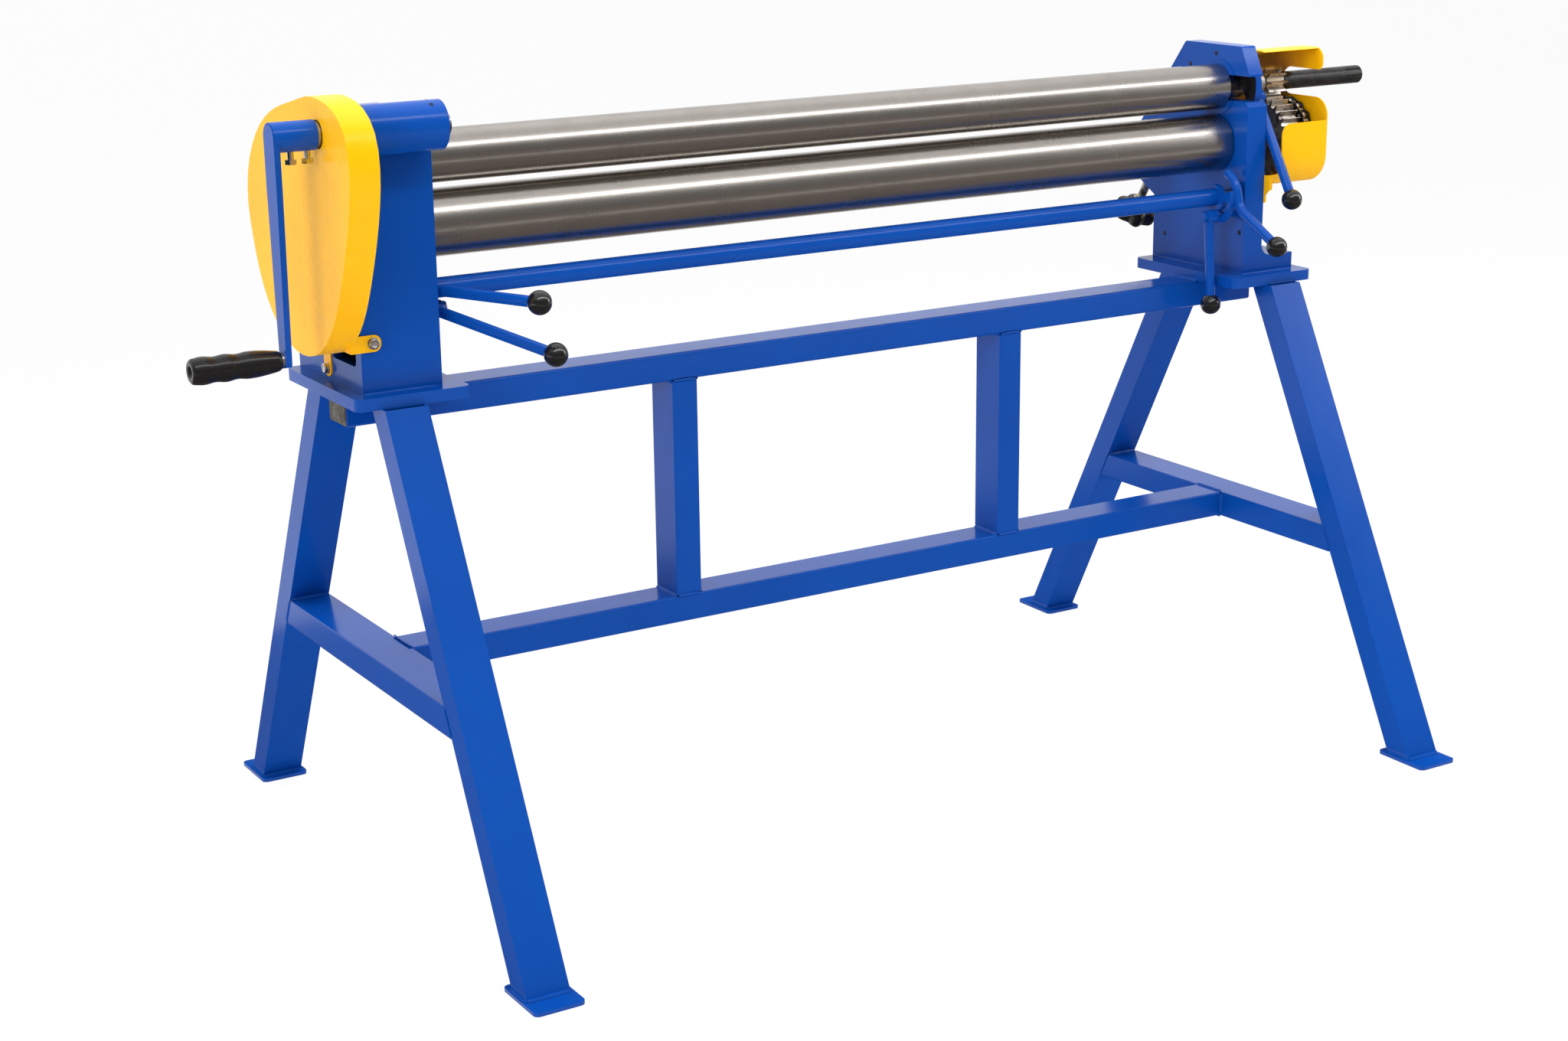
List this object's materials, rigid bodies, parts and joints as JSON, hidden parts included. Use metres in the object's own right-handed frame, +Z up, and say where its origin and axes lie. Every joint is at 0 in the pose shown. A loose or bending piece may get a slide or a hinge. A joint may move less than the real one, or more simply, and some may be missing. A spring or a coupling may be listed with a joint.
{
  "type": "slip roll machine",
  "caption": "Hand-cranked three-roll sheet rolling machine on a welded A-frame stand, with geared drive, chain-driven rear roll, roll lock and levers that set the gap.",
  "frame": {"origin": "on the floor, at the middle of the overall length and midway between the front and rear feet", "axes": "+X along the rolls from the crank end to the gear and pull-bar end, +Y to the rear roll's side, +Z up"},
  "size_m": [2.016, 1.0236, 1.0908],
  "materials": {
    "black_grip": "satin moulded",
    "black_knob": "glossy moulded",
    "black_steel": "blackened, oiled",
    "ground_steel": "ground bright",
    "painted_blue": "semi-gloss enamel",
    "painted_yellow": "semi-gloss enamel",
    "plain_steel": "machined"
  },
  "bodies": {
    "stand": {"base_plate_left": "painted_blue", "base_plate_right": "painted_blue", "bearing_housing": "painted_blue", "brace_left": "painted_blue", "brace_right": "painted_blue", "clamp_stud_left": "plain_steel", "clamp_stud_right": "plain_steel", "drive_chain": "black_steel", "left_frame": "painted_blue", "left_guard": "painted_yellow", "leg_left_front": "painted_blue", "leg_left_rear": "painted_blue", "leg_right_front": "painted_blue", "leg_right_rear": "painted_blue", "lower_beam": "painted_blue", "post_left": "painted_blue", "post_right": "painted_blue", "right_frame": "painted_blue", "right_guard": "painted_yellow", "top_beam": "painted_blue", "torque_cap_left": "painted_blue", "torque_cap_right": "painted_blue"},
    "lower_carriage": {"lower_block_left": "plain_steel", "lower_block_right": "plain_steel"},
    "lower_roll_set": {"lower_roll": "ground_steel", "drive_gear": "plain_steel", "right_gear": "plain_steel", "sprocket_lower": "plain_steel"},
    "rear_carriage": {"rear_block_left": "plain_steel", "rear_block_right": "plain_steel"},
    "rear_roll_set": {"rear_roll": "ground_steel", "sprocket_rear": "plain_steel"},
    "upper_roll_set": {"upper_roll": "ground_steel", "pull_bar": "black_steel"},
    "right_pinion_turning": {"right_pinion": "plain_steel"},
    "crank": {"crank_shaft": "plain_steel", "crank_pinion": "plain_steel", "crank_arm": "painted_blue"},
    "grip": {"crank_grip": "black_grip"},
    "roll_lock_lever": {"roll_lock": "painted_blue", "roll_lock_knob": "black_knob"},
    "torque_shaft": {"torque_tube": "painted_blue", "torque_lever_left": "painted_blue", "torque_lever_right": "painted_blue", "torque_knob_left": "black_knob", "torque_knob_right": "black_knob", "eccentric_left": "plain_steel", "eccentric_right": "plain_steel"},
    "clamp_left": {"clamp_lever_left": "painted_blue", "clamp_knob_left": "black_knob"},
    "clamp_right": {"clamp_lever_right": "painted_blue", "clamp_knob_right": "black_knob"},
    "adjuster_left": {"star_knob_left": "black_grip", "adjust_screw_left": "plain_steel"},
    "adjuster_right": {"star_knob_right": "black_grip", "adjust_screw_right": "plain_steel"}
  },
  "joints": [
    {"name": "lower_roll_height", "type": "slide", "parent": "stand", "child": "lower_carriage", "axis": [0, 0, 1], "range_m": [-0.001, 0.0059], "deforming": ["drive_chain"]},
    {"name": "lower_roll_spin", "type": "hinge", "parent": "lower_carriage", "child": "lower_roll_set", "pos_m": [0.02, -0.02, 0.9056], "axis": [1, 0, 0], "continuous": true, "deforming": ["drive_chain"]},
    {"name": "rear_roll_position", "type": "slide", "parent": "stand", "child": "rear_carriage", "axis": [0, -0.5, 0.866], "range_m": [0, 0.036], "deforming": ["drive_chain"]},
    {"name": "rear_roll_spin", "type": "hinge", "parent": "rear_carriage", "child": "rear_roll_set", "pos_m": [0.02, 0.13023, 0.88], "axis": [1, 0, 0], "continuous": true, "deforming": ["drive_chain"]},
    {"name": "upper_roll_spin", "type": "hinge", "parent": "stand", "child": "upper_roll_set", "pos_m": [0.02, -0.02, 0.993], "axis": [1, 0, 0], "continuous": true},
    {"name": "right_pinion_spin", "type": "hinge", "parent": "stand", "child": "right_pinion_turning", "pos_m": [0.8175, -0.02, 0.993], "axis": [1, 0, 0], "continuous": true},
    {"name": "crank_turn", "type": "hinge", "parent": "stand", "child": "crank", "pos_m": [-0.78, -0.121, 1.046], "axis": [1, 0, 0], "continuous": true},
    {"name": "grip_spin", "type": "hinge", "parent": "crank", "child": "grip", "pos_m": [-0.95, -0.121, 0.77], "axis": [1, 0, 0], "continuous": true},
    {"name": "roll_lock_swing", "type": "hinge", "parent": "stand", "child": "roll_lock_lever", "pos_m": [0.7435, -0.02, 0.993], "axis": [1, 0, 0], "range_deg": [-60, 0]},
    {"name": "torque_shaft_turn", "type": "hinge", "parent": "stand", "child": "torque_shaft", "pos_m": [0.02, -0.057, 0.826], "axis": [1, 0, 0], "range_deg": [-4, 21]},
    {"name": "clamp_swing_left", "type": "hinge", "parent": "stand", "child": "clamp_left", "pos_m": [-0.65, -0.047, 0.798], "axis": [1, 0, 0], "range_deg": [0, 60]},
    {"name": "clamp_swing_right", "type": "hinge", "parent": "stand", "child": "clamp_right", "pos_m": [0.663, -0.067, 0.798], "axis": [1, 0, 0], "range_deg": [-60, 0]},
    {"name": "adjuster_turn_left", "type": "hinge", "parent": "rear_carriage", "child": "adjuster_left", "pos_m": [-0.68775, 0.19373, 0.77002], "axis": [0, -0.5, 0.866], "range_deg": [0, 2593]},
    {"name": "adjuster_turn_right", "type": "hinge", "parent": "rear_carriage", "child": "adjuster_right", "pos_m": [0.72775, 0.19373, 0.77002], "axis": [0, -0.5, 0.866], "range_deg": [0, 2593]}
  ],
  "couplings": [
    {"joint": "crank_turn", "follows": "lower_roll_spin", "ratio": -4.1538},
    {"joint": "rear_roll_spin", "follows": "lower_roll_spin", "ratio": 1},
    {"joint": "upper_roll_spin", "follows": "lower_roll_spin", "ratio": -1.2857},
    {"joint": "right_pinion_spin", "follows": "lower_roll_spin", "ratio": -3.1},
    {"joint": "torque_shaft_turn", "follows": "lower_roll_height", "rad_per_m": 57.803},
    {"joint": "adjuster_turn_left", "follows": "rear_roll_position", "rad_per_m": 1256.6},
    {"joint": "adjuster_turn_right", "follows": "rear_roll_position", "rad_per_m": 1256.6}
  ]
}
